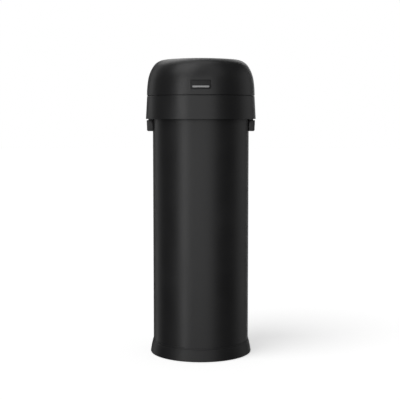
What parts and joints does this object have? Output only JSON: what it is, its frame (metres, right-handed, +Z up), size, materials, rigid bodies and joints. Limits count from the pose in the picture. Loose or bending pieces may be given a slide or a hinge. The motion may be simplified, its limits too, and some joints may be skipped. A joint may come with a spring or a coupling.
{
  "type": "ashtray bin",
  "caption": "Slim free-standing round ashtray bin with a domed hinged lid, a lift-off head held by side catches, an ash tray with a drop hole and an inner bucket.",
  "frame": {"origin": "on the floor, on the axis of the tube", "axes": "+Z up the tube; the front, with the badge, faces -Y; +X to the right seen from the front"},
  "size_m": [0.229, 0.229, 0.6173],
  "materials": {
    "moulded": "moulded polypropylene, black, fine grain",
    "powder": "black powder coat, satin",
    "galvanised": "galvanised steel sheet",
    "stainless": "stainless steel, brushed",
    "zinc": "bright zinc plated",
    "cast": "black dipped iron",
    "rubber": "black rubber",
    "badge_grey": "printed light grey"
  },
  "bodies": {
    "root": {"floor_ring": "rubber", "base_ring": "moulded", "bottom_disc": "galvanised", "ballast_plate": "cast", "base_screws": "zinc", "body_tube": "powder"},
    "bucket": {"bucket_shell": "galvanised", "bucket_ears": "galvanised", "ear_rivets": "zinc"},
    "bail": {"bail_handle": "zinc"},
    "head": {"carrier_ring": "moulded", "collar": "moulded", "collar_screws": "zinc", "tube_gasket": "rubber", "lid_seal": "rubber", "ash_tray": "stainless", "stub_plate": "stainless", "hinge_pin": "zinc", "catch_pins": "zinc", "catch_springs": "zinc"},
    "left_catch": {"catch_lever_left": "moulded", "catch_pad_left": "rubber"},
    "right_catch": {"catch_lever_right": "moulded", "catch_pad_right": "rubber"},
    "lid": {"lid_shell": "moulded", "heat_shield": "stainless", "lid_screws": "zinc", "badge_plate": "moulded", "badge_strip": "badge_grey"}
  },
  "joints": [
    {"name": "head_lift", "type": "slide", "parent": "root", "child": "head", "axis": [0, 0, 1], "range_m": [0, 0.8]},
    {"name": "bucket_lift", "type": "slide", "parent": "root", "child": "bucket", "axis": [0, 0, 1], "range_m": [0, 0.53]},
    {"name": "bail_swing", "type": "hinge", "parent": "bucket", "child": "bail", "pos_m": [0, 0, 0.3915], "axis": [1, 0, 0], "range_deg": [0, 180]},
    {"name": "left_catch_pull", "type": "hinge", "parent": "head", "child": "left_catch", "pos_m": [-0.1066, 0, 0.4976], "axis": [0, 1, 0], "range_deg": [0, 12], "stiffness_Nm_per_rad": 0.4, "springref_deg": -20.05},
    {"name": "right_catch_pull", "type": "hinge", "parent": "head", "child": "right_catch", "pos_m": [0.1066, 0, 0.4976], "axis": [0, -1, 0], "range_deg": [0, 12], "stiffness_Nm_per_rad": 0.4, "springref_deg": -20.05},
    {"name": "lid_hinge", "type": "hinge", "parent": "head", "child": "lid", "pos_m": [0, 0.1106, 0.5409], "axis": [-1, 0, 0], "range_deg": [0, 100]}
  ],
  "couplings": [
    {"joint": "bucket_lift", "follows": "head_lift", "ratio": 0.66}
  ]
}
